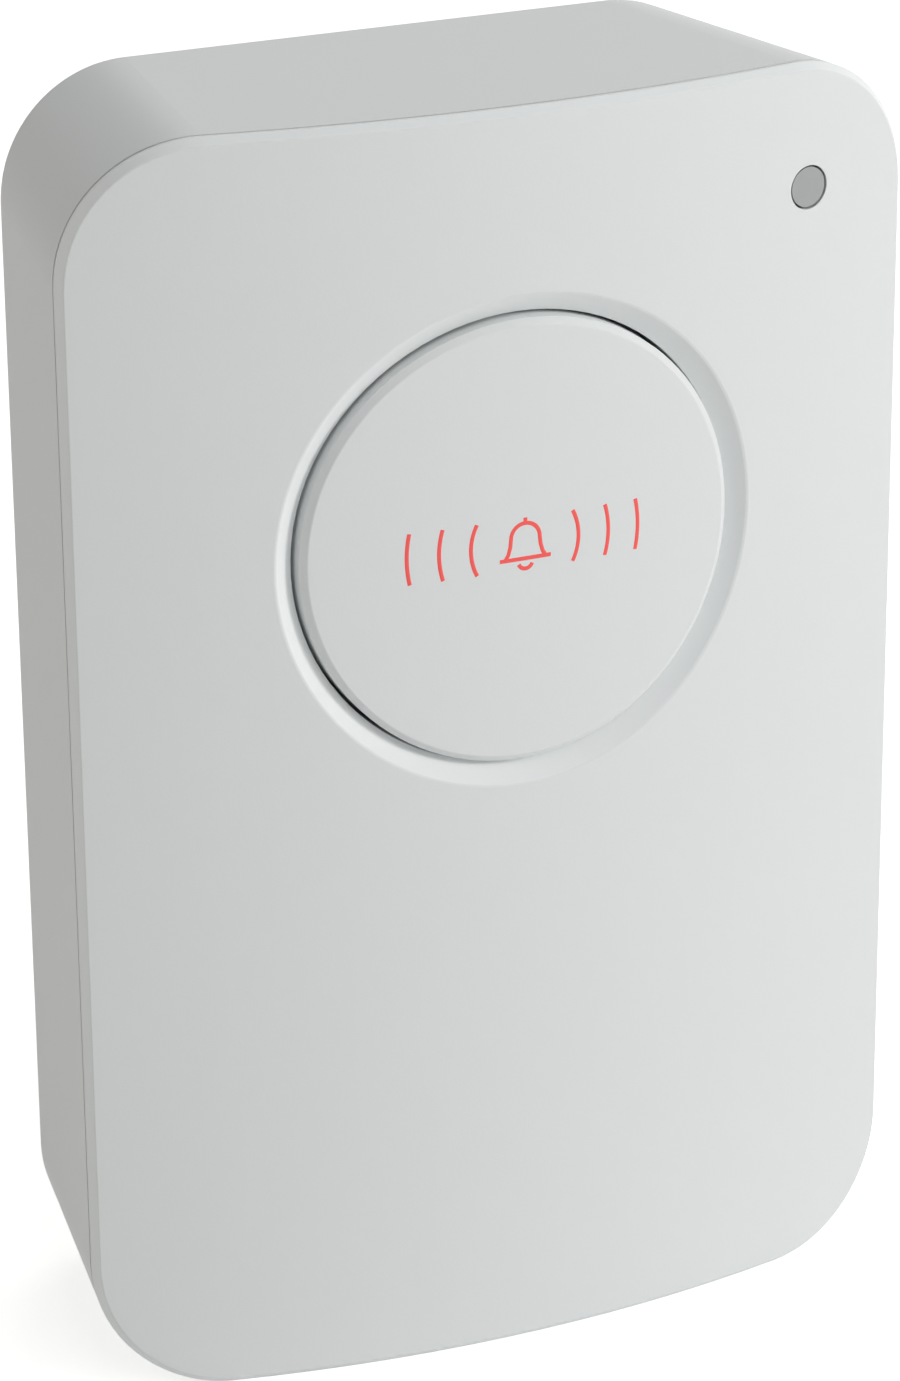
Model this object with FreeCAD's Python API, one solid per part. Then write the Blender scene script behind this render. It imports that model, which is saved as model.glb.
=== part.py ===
import FreeCAD, Part
import math
import os

# Wireless panic button, in millimetres.
# +Z is up, -Y is the crowned front and +Y is the back, where the wall plate sits.
# The origin is under the middle of the case, on the surface that it stands on.
# Depths are counted forward from the back of the case.

# Case
WIDTH = 42.0
HEIGHT = 61.7
SIDE_DEPTH = 14.5
CROWN_RISE = 3.4
CORNER_R = 6.7
BACK_CORNER_R = 6.3
BACK_INSET_SIDE = 2.4
BACK_INSET_TOP = 0.4
FRONT_EDGE_WIDTH = 0.35
FRONT_EDGE_DEPTH = 0.4
FRONT_EDGE_R = 0.12
BACK_EDGE_R = 0.3
HOUSING_WALL = 1.8
BACK_WALL = 1.8

# Front cover
COVER_EDGE = 0.6
COVER_SKIN = 1.8
SEAM_GAP = 0.2
SEAM_DEPTH = 0.5
TONGUE_FIT = 0.1
TONGUE_WALL = 1.0
TONGUE_LENGTH = 2.6
RIB_THICK = 1.0
RIB_HEIGHT = 0.9
RIB_SPREAD = 8.0

# Push button
BUTTON_DROP = 20.4
BUTTON_R = 10.72
BUTTON_GAP = 0.18
BUTTON_EDGE_WIDTH = 0.3
BUTTON_EDGE_DEPTH = 0.25
BUTTON_EDGE_R = 0.12
BUTTON_SKIN = 1.6
BUTTON_SKIRT = 1.5
BUTTON_TRAVEL = 0.7
DISH_WIDTH = 1.0
DISH_DEPTH = 0.8
DISH_LIP_R = 0.2
COLLAR_WALL = 1.35
COLLAR_REACH = 3.85
FLANGE_OUT = 1.3
FLANGE_THICK = 0.8
FLANGE_GAP = 0.2
KEY_WIDTH = 2.4
KEY_GAP = 0.2
KEY_COUNT = 3
KEY_FIRST_ANGLE = 90.0
KEY_PAST_FLANGE = 0.3
POST_R = 2.2
POST_GAP = 0.05
SPOKE_THICK = 0.8
SPOKE_HEIGHT = 0.9
SPOKE_COUNT = 6

# Return ring under the button
RING_FOOT_WIDTH = 1.4
RING_LIP_WIDTH = 1.3
RING_FLARE = 1.0
RING_WEB = 0.5
RING_GAP = 0.1
RING_KEY_ROOM = 0.2
RING_FOOT_SHARE = 0.25

# Wall plate and its recess in the back
PLATE_WIDTH = 22.0
PLATE_THICK = 2.1
PLATE_CORNER_R = 2.5
PLATE_PROUD = 0.2
PLATE_FLOOR_GAP = 0.2
PLATE_EDGE_GAP = 0.3
PLATE_TRAVEL = 6.0
PLATE_HOLE_R = 1.9
PLATE_SINK_R = 3.3
PLATE_HOLE_END = 5.65
LUG_REACH = 1.5
LUG_LENGTH = 5.0
LUG_THICK = 0.9
LUG_SPREAD = 10.0
LEDGE_LENGTH = 4.6
LEDGE_THICK = 0.8
TONGUE_CLIP_WIDTH = 6.0
TONGUE_CLIP_LENGTH = 9.0
TONGUE_CLIP_SLIT = 0.8
DETENT_R = 0.6
DETENT_OUT = 0.12
DETENT_POCKET = 0.25
RECESS_WALL = 1.2
RECESS_PILLAR_ROOM = 0.9

# Coin cell, its holder and contacts
CELL_R = 12.25
CELL_THICK = 5.0
CELL_Z = 19.6
CELL_EDGE_R = 0.4
CELL_CRIMP = 0.9
CELL_CAP_R = 10.6
CELL_CAP_HEIGHT = 0.4
HOLDER_GAP = 0.15
HOLDER_WALL = 1.2
HOLDER_FLOOR = 0.35
HOLDER_REACH = 4.6
HOLDER_MOUTH_ANGLE = 80.0
STRIP_THICK = 0.25
STRIP_WIDTH = 5.0
STRIP_GAP = 0.1
STRIP_TONGUE = 6.0
STRIP_FOOT = 2.0
SPRING_LENGTH = 14.0
SPRING_WIDTH = 4.0
SPRING_THICK = 0.15
CELL_BACK_ROOM = 0.45
CELL_FRONT_ROOM = 0.45

# Circuit board
BOARD_THICK = 1.0
BOARD_SIDE_GAP = 0.8
BOARD_CORNER_R = 4.2
LEDGE_RIB_THICK = 1.2
LEDGE_RIB_OVERLAP = 1.2
LEDGE_RIB_END = 16.0
LEDGE_RIB_COUNT = 3

# Case screws
SCREW_SHANK_R = 1.1
SCREW_HEAD_R = 2.1
SCREW_HEAD_HEIGHT = 1.5
SCREW_SEAT_DEPTH = 2.6
SCREW_HOLE_R = 1.3
SCREW_TIP_ROOM = 0.4
SCREW_THREAD_REACH = 3.2
SCREW_FIT = 0.02
SCREW_TOP_DROP = 5.5
HEAD_POCKET_R = 2.4
PILLAR_R = 2.9
BOSS_R = 2.1
DRIVE_SLOT = 0.5
DRIVE_DEPTH = 0.7

# Tactile switch
SWITCH_SIZE = 6.0
SWITCH_CORNER_CUT = 0.48
SWITCH_BASE_HEIGHT = 3.0
SWITCH_COVER_THICK = 0.3
SWITCH_WELL_R = 2.5
SWITCH_WELL_FLOOR = 1.1
PLUNGER_R = 1.7
PLUNGER_FOOT_R = 2.2
PLUNGER_FOOT_THICK = 0.5
PLUNGER_OUT = 0.9
PLUNGER_GAP = 0.08
DOME_R = 2.3
DOME_THICK = 0.12
TERMINAL_WIDTH = 0.8
TERMINAL_THICK = 0.25
TERMINAL_REACH = 1.2
TERMINAL_SPREAD = 2.25
TERMINAL_RISE = 1.2

# Status light and light pipe
LIGHT_SIDE = 5.83
LIGHT_DROP = 5.87
PIPE_R = 0.95
PIPE_GAP = 0.1
PIPE_BELOW_FACE = 0.06
PIPE_FLANGE_R = 1.45
PIPE_FLANGE_THICK = 0.6
SLEEVE_R = 1.9
SLEEVE_REACH = 0.9
LED_LENGTH = 2.0
LED_WIDTH = 1.25
LED_BASE = 0.35
LED_DOME_R = 0.5
LED_GAP = 0.2

# Parts on the board
CONTROLLER_SIZE = 7.0
CONTROLLER_THICK = 0.9
CONTROLLER_SPOT = (4.5, -22.4)
RADIO_SIZE = 5.0
RADIO_THICK = 0.85
RADIO_SPOT = (-6.5, -18.9)
CHIP_BEVEL = 0.15
CRYSTAL_LENGTH = 3.2
CRYSTAL_WIDTH = 2.5
CRYSTAL_BASE = 0.35
CRYSTAL_LID = 0.4
CRYSTAL_SPOT = (-6.5, -25.4)
CHIP_PART_LENGTH = 1.6
CHIP_PART_WIDTH = 0.8
CHIP_PART_THICK = 0.7
CHIP_PART_PITCH = 2.0
CHIP_ROW_SPOTS = ((4.5, -28.9), (4.5, -15.4), (-5.5, -30.4))
CHIP_ROW_COUNT = 4

# Antenna
ANTENNA_R = 0.4
ANTENNA_SIDE = 2.6
ANTENNA_DROP = 3.6
ANTENNA_LONG = 28.0
ANTENNA_ACROSS = 9.0
ANTENNA_LIFT = 2.0
ANTENNA_BEND_R = 1.4
ANTENNA_HOLE_GAP = 0.1

# Depths worked out from the sizes above
FACE_DEPTH = SIDE_DEPTH + CROWN_RISE
CROWN_R = ((WIDTH / 2) ** 2 + CROWN_RISE ** 2) / (2 * CROWN_RISE)
MID_DEPTH = (FACE_DEPTH - PLATE_PROUD) / 2
RECESS_DEPTH = PLATE_THICK - PLATE_PROUD + PLATE_FLOOR_GAP
PAN_DEPTH = RECESS_DEPTH + RECESS_WALL
CELL_BACK = PAN_DEPTH + CELL_BACK_ROOM
CELL_FRONT = CELL_BACK + CELL_THICK
BOARD_BACK = CELL_FRONT + CELL_FRONT_ROOM
BOARD_FRONT = BOARD_BACK + BOARD_THICK
SWITCH_TOP = BOARD_FRONT + SWITCH_BASE_HEIGHT + SWITCH_COVER_THICK
PLUNGER_TOP = SWITCH_TOP + PLUNGER_OUT
COLLAR_END = FACE_DEPTH - COLLAR_REACH
FLANGE_FRONT = COLLAR_END - FLANGE_GAP
FLANGE_BACK = FLANGE_FRONT - FLANGE_THICK
SCREW_TIP = BOARD_FRONT + SCREW_THREAD_REACH

# Radii and places worked out from the sizes above
OPENING_R = BUTTON_R + BUTTON_GAP
COLLAR_R = OPENING_R + COLLAR_WALL
FLANGE_R = BUTTON_R + FLANGE_OUT
PLUG_INSET = HOUSING_WALL + TONGUE_FIT
POCKET_INSET = PLUG_INSET + TONGUE_WALL
SCREW_X = WIDTH / 2 - BACK_INSET_SIDE - BACK_CORNER_R
SCREW_SPOTS = (
    (-SCREW_X, BACK_CORNER_R),
    (SCREW_X, BACK_CORNER_R),
    (0.0, HEIGHT - SCREW_TOP_DROP),
)
PILLAR_KEEP = PILLAR_R + RECESS_PILLAR_ROOM + RECESS_WALL
RECESS_HALF = PLATE_WIDTH / 2 + LUG_REACH + PLATE_EDGE_GAP
RECESS_BOTTOM = BACK_CORNER_R + PILLAR_KEEP
RECESS_TOP = HEIGHT - SCREW_TOP_DROP - PILLAR_KEEP
PLATE_TOP = RECESS_TOP - PLATE_EDGE_GAP
PLATE_HEIGHT = PLATE_TOP - RECESS_BOTTOM - PLATE_TRAVEL - PLATE_EDGE_GAP
PLATE_Z = PLATE_TOP - PLATE_HEIGHT / 2
BUTTON_Z = HEIGHT - BUTTON_DROP
LIGHT_X = WIDTH / 2 - LIGHT_SIDE
LIGHT_Z = HEIGHT - LIGHT_DROP
FRONT = FreeCAD.Vector(0, -1, 0)
MARGIN = 1.0
SAME_PLACE = 1e-3


def at(x, z, depth):
    """The point at x and z, so far forward of the back of the case."""
    return FreeCAD.Vector(x, MID_DEPTH - depth, z)


def disc(x, z, radius, back, front):
    """A round bar along the depth."""
    return Part.makeCylinder(radius, front - back, at(x, z, back), FRONT)


def flare(x, z, back_radius, front_radius, back, front):
    """A cone along the depth."""
    return Part.makeCone(back_radius, front_radius, front - back, at(x, z, back), FRONT)


def block(x0, x1, z0, z1, back, front):
    """A square-edged block between two depths."""
    return Part.makeBox(x1 - x0, front - back, z1 - z0, at(x0, z0, front))


def centred_block(x, z, width, height, back, front):
    """A square-edged block about a point of the board or plate."""
    return block(x - width / 2, x + width / 2, z - height / 2, z + height / 2, back, front)


def rounded_outline(half_width, bottom, top, radius, depth):
    """A closed upright outline with round corners, at one depth."""
    inner = half_width - radius
    low = bottom + radius
    high = top - radius
    slant = radius * math.sqrt(0.5)
    sides = [
        ((-inner, bottom), (inner, bottom)),
        ((half_width, low), (half_width, high)),
        ((inner, top), (-inner, top)),
        ((-half_width, high), (-half_width, low)),
    ]
    middles = [
        (inner + slant, low - slant),
        (inner + slant, high + slant),
        (-inner - slant, high + slant),
        (-inner - slant, low - slant),
    ]
    edges = []
    for index, (start, end) in enumerate(sides):
        following = sides[(index + 1) % len(sides)][0]
        edges.append(Part.LineSegment(at(*start, depth), at(*end, depth)).toShape())
        arc = Part.Arc(at(*end, depth), at(*middles[index], depth), at(*following, depth))
        edges.append(arc.toShape())
    return Part.Wire(edges)


def rounded_slab(half_width, bottom, top, radius, back, front):
    """A flat plate with round corners."""
    outline = rounded_outline(half_width, bottom, top, radius, back)
    return Part.Face(outline).extrude(FRONT * (front - back))


def case_outline(inset, depth):
    """The outline of the case at one depth, drawn in by an inset all round."""
    share = depth / SIDE_DEPTH
    half_width = WIDTH / 2 - BACK_INSET_SIDE * (1 - share) - inset
    top = HEIGHT - BACK_INSET_TOP * (1 - share) - inset
    radius = BACK_CORNER_R + (CORNER_R - BACK_CORNER_R) * share - inset
    return rounded_outline(half_width, inset, top, radius, depth)


def true_plane(face):
    """The face as a true plane if it is flat; a round corner stays as it is."""
    flat = face.findPlane()
    return Part.Face(flat, face.OuterWire) if flat else face


def case_blank(inset, back=0.0):
    """The tapered block of the case, without its crown, drawn in by an inset."""
    outlines = [case_outline(inset, back), case_outline(inset, FACE_DEPTH + MARGIN)]
    loft = Part.makeLoft(outlines, True, True)
    return Part.Solid(Part.Shell([true_plane(face) for face in loft.Faces]))


def crown_axis_depth():
    """How deep the upright axis lies about which the front face curves."""
    return FACE_DEPTH - CROWN_R


def under_crown(inset):
    """All that lies behind the crowned front face, or behind a face parallel to it."""
    start = at(0, -MARGIN, crown_axis_depth())
    return Part.makeCylinder(CROWN_R - inset, HEIGHT + 2 * MARGIN, start)


def skin_depth(x, inset):
    """The depth of the crowned face, or of a face parallel to it, at one x."""
    return crown_axis_depth() + math.sqrt((CROWN_R - inset) ** 2 - x ** 2)


def on_crown(point, inset=0.0):
    """Whether a point lies on the crowned face, or on one parallel to it."""
    axis = at(0, 0, crown_axis_depth())
    return abs(math.hypot(point.x - axis.x, point.y - axis.y) - CROWN_R + inset) < SAME_PLACE


def from_button(point):
    """How far a point lies from the axis of the push button."""
    return math.hypot(point.x, point.z - BUTTON_Z)


def middle(edge):
    """The point half way along an edge."""
    return edge.valueAt((edge.FirstParameter + edge.LastParameter) / 2)


def edges_where(shape, test):
    """The edges whose middle passes a test."""
    return [edge for edge in shape.Edges if test(middle(edge))]


def turned(shape, angle):
    """A copy of a shape, turned about the axis of the push button."""
    copy = shape.copy()
    copy.rotate(at(0, BUTTON_Z, 0), FRONT, angle)
    return copy


def joined(shapes):
    """One solid out of shapes that meet."""
    whole = shapes[0].multiFuse(shapes[1:])
    return whole.removeSplitter()


def cover_shell():
    """The crowned skin, with a rounded rim and a tongue that enters the housing."""
    case = case_blank(0.0).common(under_crown(0.0))
    case = case.makeChamfer(FRONT_EDGE_DEPTH, FRONT_EDGE_WIDTH, edges_where(case, on_crown))
    case = case.makeFillet(FRONT_EDGE_R, edges_where(case, on_crown))
    skin = case.cut(under_crown(COVER_EDGE))
    plug = case_blank(PLUG_INSET).common(under_crown(COVER_EDGE / 2))
    plug = plug.cut(under_crown(COVER_EDGE + TONGUE_LENGTH))
    pocket = case_blank(POCKET_INSET).common(under_crown(COVER_SKIN))
    return joined([skin, plug]).cut(pocket)


def cut_dish(cover):
    """Opens the cover for the button and flares the opening into a dish."""
    opening = disc(0, BUTTON_Z, OPENING_R, 0, FACE_DEPTH + MARGIN)
    cover = cover.cut(opening)
    mouth = edges_where(cover, lambda p: on_crown(p) and from_button(p) < OPENING_R + SAME_PLACE)
    cover = cover.makeChamfer(DISH_WIDTH, DISH_DEPTH, mouth)
    dish_r = OPENING_R + DISH_WIDTH
    near = DISH_WIDTH / 4
    lip = edges_where(cover, lambda p: on_crown(p) and abs(from_button(p) - dish_r) < near)
    return cover.makeFillet(DISH_LIP_R, lip)


def button_key(width, inner_r, outer_r, back, front):
    """The bar of one guide key, before it is turned to its place."""
    bar = block(inner_r - MARGIN, outer_r + MARGIN, BUTTON_Z - width / 2, BUTTON_Z + width / 2, back, front)
    ring = disc(0, BUTTON_Z, outer_r, back, front).cut(disc(0, BUTTON_Z, inner_r, back, front))
    return bar.common(ring)


def key_angles():
    """The directions of the guide keys about the button."""
    return [KEY_FIRST_ANGLE + index * 360.0 / KEY_COUNT for index in range(KEY_COUNT)]


def collar():
    """The guide tube round the button, with keys that stop the button from turning."""
    tube = disc(0, BUTTON_Z, COLLAR_R, COLLAR_END, FACE_DEPTH)
    tube = tube.common(under_crown(COVER_SKIN / 2))
    tube = tube.cut(disc(0, BUTTON_Z, OPENING_R, COLLAR_END - MARGIN, FACE_DEPTH + MARGIN))
    end = FLANGE_BACK - BUTTON_TRAVEL - KEY_PAST_FLANGE
    key = button_key(KEY_WIDTH, OPENING_R + KEY_GAP, COLLAR_R, end, COLLAR_END)
    return joined([tube] + [turned(key, angle) for angle in key_angles()])


def cover_bosses():
    """The bosses that take the case screws, from the board up to the skin."""
    bosses = []
    for x, z in SCREW_SPOTS:
        boss = disc(x, z, BOSS_R, BOARD_FRONT, FACE_DEPTH)
        bosses.append(boss.common(under_crown(COVER_SKIN / 2)))
    return bosses


def cover_ribs():
    """The ribs that stiffen the lower half of the skin: two upright and one across."""
    deep = COVER_SKIN + RIB_HEIGHT
    low = POCKET_INSET - TONGUE_WALL / 2
    high = BUTTON_Z - COLLAR_R
    half = RIB_THICK / 2
    across_z = (low + high) / 2
    reach = WIDTH / 2 - POCKET_INSET + TONGUE_WALL / 2
    bars = [
        block(-RIB_SPREAD - half, -RIB_SPREAD + half, low, high + COLLAR_WALL * 3, 0, FACE_DEPTH),
        block(RIB_SPREAD - half, RIB_SPREAD + half, low, high + COLLAR_WALL * 3, 0, FACE_DEPTH),
        block(-reach, reach, across_z - half, across_z + half, 0, FACE_DEPTH),
    ]
    room = under_crown(COVER_SKIN / 2).cut(under_crown(deep))
    room = room.common(case_blank(POCKET_INSET - TONGUE_WALL / 2))
    room = room.cut(disc(0, BUTTON_Z, OPENING_R + COLLAR_WALL / 2, 0, FACE_DEPTH))
    return [bar.common(room) for bar in bars]


def light_sleeve():
    """The sleeve that holds the light pipe behind its window hole."""
    end = skin_depth(LIGHT_X, COVER_SKIN) - SLEEVE_REACH
    sleeve = disc(LIGHT_X, LIGHT_Z, SLEEVE_R, end, FACE_DEPTH)
    return sleeve.common(under_crown(COVER_SKIN / 2))


def front_cover():
    """The moulded front cover."""
    cover = cut_dish(cover_shell())
    cover = joined([cover, collar(), light_sleeve()] + cover_bosses() + cover_ribs())
    cover = cover.cut(disc(LIGHT_X, LIGHT_Z, PIPE_R + PIPE_GAP, 0, FACE_DEPTH + MARGIN))
    for x, z in SCREW_SPOTS:
        cover = cover.cut(disc(x, z, SCREW_SHANK_R + SCREW_FIT, 0, SCREW_TIP + SCREW_TIP_ROOM))
    return cover


def housing_tub():
    """The tapered tub of the housing, with the fine seam under the cover's rim."""
    tub = case_blank(0.0).common(under_crown(COVER_EDGE))
    back = edges_where(tub, lambda p: abs(p.y - MID_DEPTH) < SAME_PLACE)
    tub = tub.makeFillet(BACK_EDGE_R, back)
    hollow = case_blank(HOUSING_WALL, BACK_WALL)
    seam = under_crown(0.0).cut(under_crown(COVER_EDGE + SEAM_GAP))
    seam = seam.cut(case_blank(SEAM_DEPTH))
    return tub.cut(hollow).cut(seam)


def recess_slab(grow, back, front):
    """A slab over the recess in the back, larger by grow all round."""
    radius = PLATE_CORNER_R + grow
    low = RECESS_BOTTOM - grow
    return rounded_slab(RECESS_HALF + grow, low, RECESS_TOP + grow, radius, back, front)


def recess_ledges():
    """The four ledges in the recess that the lugs of the wall plate slide under."""
    inner = PLATE_WIDTH / 2 + PLATE_EDGE_GAP
    ledges = []
    for side in (-1, 1):
        for shift in (-LUG_SPREAD, LUG_SPREAD):
            x = side * (inner + RECESS_HALF + RECESS_WALL / 2) / 2
            width = RECESS_HALF + RECESS_WALL / 2 - inner
            ledge = centred_block(x, PLATE_Z + shift, width, LEDGE_LENGTH, 0, LEDGE_THICK)
            ledges.append(ledge)
    return ledges


def detent_bar(radius, out, floor):
    """A low round bar across the tongue of the wall plate, or the dent that it drops in."""
    z = PLATE_Z - TONGUE_CLIP_LENGTH / 2 + DETENT_R
    centre = floor + out - radius
    start = at(-TONGUE_CLIP_WIDTH / 4, z, centre)
    return Part.makeCylinder(radius, TONGUE_CLIP_WIDTH / 2, start, FreeCAD.Vector(1, 0, 0))


def board_ribs():
    """The upright ribs on the side walls that carry the edges of the board."""
    inner = board_half_width() - LEDGE_RIB_OVERLAP
    inside = case_blank(HOUSING_WALL / 2)
    pitch = (HEIGHT - 2 * LEDGE_RIB_END) / (LEDGE_RIB_COUNT - 1)
    ribs = []
    for side in (-1, 1):
        for index in range(LEDGE_RIB_COUNT):
            z = LEDGE_RIB_END + index * pitch
            x = side * (inner + WIDTH) / 2
            rib = centred_block(x, z, WIDTH - inner, LEDGE_RIB_THICK, BACK_WALL / 2, BOARD_BACK)
            ribs.append(rib.common(inside))
    return ribs


def housing_pillars():
    """The pillars that the case screws pass through, up to the board."""
    pillars = [disc(x, z, PILLAR_R, BACK_WALL / 2, BOARD_BACK) for x, z in SCREW_SPOTS]
    top_x, top_z = SCREW_SPOTS[-1]
    half = LEDGE_RIB_THICK / 2
    web = block(top_x - half, top_x + half, top_z, HEIGHT, BACK_WALL / 2, BOARD_BACK)
    return pillars + [web.common(case_blank(HOUSING_WALL / 2))]


def rear_housing():
    """The moulded rear housing."""
    pan = recess_slab(RECESS_WALL, BACK_WALL / 2, PAN_DEPTH)
    housing = joined([housing_tub(), pan] + housing_pillars() + board_ribs())
    housing = housing.cut(recess_slab(0, -MARGIN, RECESS_DEPTH))
    housing = joined([housing] + recess_ledges())
    dent = detent_bar(DETENT_R, DETENT_POCKET, RECESS_DEPTH)
    housing = housing.cut(dent)
    for x, z in SCREW_SPOTS:
        housing = housing.cut(disc(x, z, HEAD_POCKET_R, -MARGIN, SCREW_SEAT_DEPTH))
        housing = housing.cut(disc(x, z, SCREW_HOLE_R, 0, BOARD_BACK + MARGIN))
    return housing


def button_cap():
    """The push button: a crowned cap with a skirt, a notched flange and a centre post."""
    cap = disc(0, BUTTON_Z, BUTTON_R, FLANGE_BACK, FACE_DEPTH + MARGIN)
    cap = cap.common(under_crown(0.0))
    cap = cap.makeChamfer(BUTTON_EDGE_DEPTH, BUTTON_EDGE_WIDTH, edges_where(cap, on_crown))
    cap = cap.makeFillet(BUTTON_EDGE_R, edges_where(cap, on_crown))
    flange = disc(0, BUTTON_Z, FLANGE_R, FLANGE_BACK, FLANGE_FRONT)
    cap = joined([cap, flange])
    hollow_r = BUTTON_R - BUTTON_SKIRT
    hollow = disc(0, BUTTON_Z, hollow_r, 0, FACE_DEPTH).common(under_crown(BUTTON_SKIN))
    cap = cap.cut(hollow)
    inside = under_crown(BUTTON_SKIN / 2)
    post = disc(0, BUTTON_Z, POST_R, PLUNGER_TOP + POST_GAP, FACE_DEPTH).common(inside)
    room = disc(0, BUTTON_Z, hollow_r + BUTTON_SKIRT / 2, 0, FACE_DEPTH)
    room = room.common(inside).cut(under_crown(BUTTON_SKIN + SPOKE_HEIGHT))
    half = SPOKE_THICK / 2
    spoke = block(0, BUTTON_R, BUTTON_Z - half, BUTTON_Z + half, 0, FACE_DEPTH)
    spokes = [turned(spoke, index * 360.0 / SPOKE_COUNT).common(room) for index in range(SPOKE_COUNT)]
    cap = joined([cap, post] + spokes)
    notch_inner = OPENING_R
    notch = button_key(KEY_WIDTH + 2 * KEY_GAP, notch_inner, FLANGE_R, FLANGE_BACK, FLANGE_FRONT)
    for angle in key_angles():
        cap = cap.cut(turned(notch, angle))
    return cap


def return_ring():
    """The soft silicone ring that stands on the board and pushes the button out."""
    top = FLANGE_BACK - RING_GAP
    lip_out = OPENING_R + KEY_GAP - RING_KEY_ROOM
    lip_in = lip_out - RING_LIP_WIDTH
    foot_in = lip_in - RING_FLARE
    foot_out = foot_in + RING_FOOT_WIDTH
    foot_top = BOARD_FRONT + RING_FOOT_SHARE * (top - BOARD_FRONT)
    lip_bottom = top - RING_FOOT_SHARE * (top - BOARD_FRONT)
    profile = [
        (foot_in, BOARD_FRONT),
        (foot_out, BOARD_FRONT),
        (foot_out, foot_top),
        (lip_out, lip_bottom),
        (lip_out, top),
        (lip_in, top),
        (lip_in, lip_bottom),
        (lip_in - RING_WEB, foot_top),
        (foot_in, foot_top),
    ]
    points = [at(radius, BUTTON_Z, depth) for radius, depth in profile]
    face = Part.Face(Part.makePolygon(points + points[:1]))
    return face.revolve(at(0, BUTTON_Z, 0), FRONT, 360)


def light_pipe():
    """The clear rod from the status light to the window hole, with a flange behind its sleeve."""
    seat = skin_depth(LIGHT_X, COVER_SKIN) - SLEEVE_REACH
    back = BOARD_FRONT + LED_BASE + LED_DOME_R + LED_GAP
    rod = disc(LIGHT_X, LIGHT_Z, PIPE_R, back, FACE_DEPTH).common(under_crown(PIPE_BELOW_FACE))
    flange = disc(LIGHT_X, LIGHT_Z, PIPE_FLANGE_R, seat - PIPE_FLANGE_THICK, seat)
    return joined([rod, flange])


def corners_cut(square):
    """A square piece of the switch with its four upright corners cut off."""
    near = SWITCH_SIZE / 2 - SAME_PLACE
    upright = edges_where(square, lambda p: abs(p.x) > near and abs(p.z - BUTTON_Z) > near)
    return square.makeChamfer(SWITCH_CORNER_CUT, upright)


def switch_base():
    """The moulded body of the tactile switch, with a round well for its dome."""
    top = BOARD_FRONT + SWITCH_BASE_HEIGHT
    base = centred_block(0, BUTTON_Z, SWITCH_SIZE, SWITCH_SIZE, BOARD_FRONT, top)
    return corners_cut(base).cut(disc(0, BUTTON_Z, SWITCH_WELL_R, BOARD_FRONT + SWITCH_WELL_FLOOR, top))


def switch_cover():
    """The pressed metal plate that closes the switch round its plunger."""
    back = BOARD_FRONT + SWITCH_BASE_HEIGHT
    plate = centred_block(0, BUTTON_Z, SWITCH_SIZE, SWITCH_SIZE, back, SWITCH_TOP)
    return corners_cut(plate).cut(disc(0, BUTTON_Z, PLUNGER_R + PLUNGER_GAP, back, SWITCH_TOP))


def plunger_foot_front():
    """The depth of the front of the plunger's foot, just under the metal plate."""
    return BOARD_FRONT + SWITCH_BASE_HEIGHT - PLUNGER_GAP


def switch_plunger():
    """The plunger of the switch: a round stem on a wider foot."""
    front = plunger_foot_front()
    stem = disc(0, BUTTON_Z, PLUNGER_R, front, PLUNGER_TOP)
    foot = disc(0, BUTTON_Z, PLUNGER_FOOT_R, front - PLUNGER_FOOT_THICK, front)
    return joined([stem, foot])


def switch_dome():
    """The thin metal snap dome in the well, under the plunger's foot."""
    floor = BOARD_FRONT + SWITCH_WELL_FLOOR
    rise = plunger_foot_front() - PLUNGER_FOOT_THICK - PLUNGER_GAP - floor
    radius = (DOME_R ** 2 + rise ** 2) / (2 * rise)
    centre = at(0, BUTTON_Z, floor + rise - radius)
    ball = Part.makeSphere(radius, centre)
    shell = ball.cut(Part.makeSphere(radius - DOME_THICK, centre))
    return shell.common(disc(0, BUTTON_Z, DOME_R, floor, floor + rise + MARGIN))


def switch_terminals():
    """The four bent legs that solder the switch to the board."""
    half = SWITCH_SIZE / 2
    legs = []
    for side in (-1, 1):
        for shift in (-TERMINAL_SPREAD, TERMINAL_SPREAD):
            upright_x = side * (half + TERMINAL_THICK / 2)
            upright = centred_block(upright_x, BUTTON_Z + shift, TERMINAL_THICK, TERMINAL_WIDTH,
                                    BOARD_FRONT, BOARD_FRONT + TERMINAL_RISE)
            foot_x = side * (half + TERMINAL_REACH / 2)
            foot = centred_block(foot_x, BUTTON_Z + shift, TERMINAL_REACH, TERMINAL_WIDTH,
                                 BOARD_FRONT, BOARD_FRONT + TERMINAL_THICK)
            legs.append(joined([upright, foot]))
    return Part.makeCompound(legs)


def board_half_width():
    """Half the width of the board, which clears the housing wall at the board's depth."""
    taper = BACK_INSET_SIDE * (1 - BOARD_BACK / SIDE_DEPTH)
    return WIDTH / 2 - taper - HOUSING_WALL - BOARD_SIDE_GAP


def board_top():
    """The height of the board's top edge."""
    taper = BACK_INSET_TOP * (1 - BOARD_BACK / SIDE_DEPTH)
    return HEIGHT - taper - HOUSING_WALL - BOARD_SIDE_GAP


def antenna_ends():
    """Where the two ends of the antenna enter the board, near its left edge and its top."""
    side = ANTENNA_SIDE - board_half_width()
    top = board_top() - ANTENNA_DROP
    return (side, top - ANTENNA_LONG), (side + ANTENNA_ACROSS, top)


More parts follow.
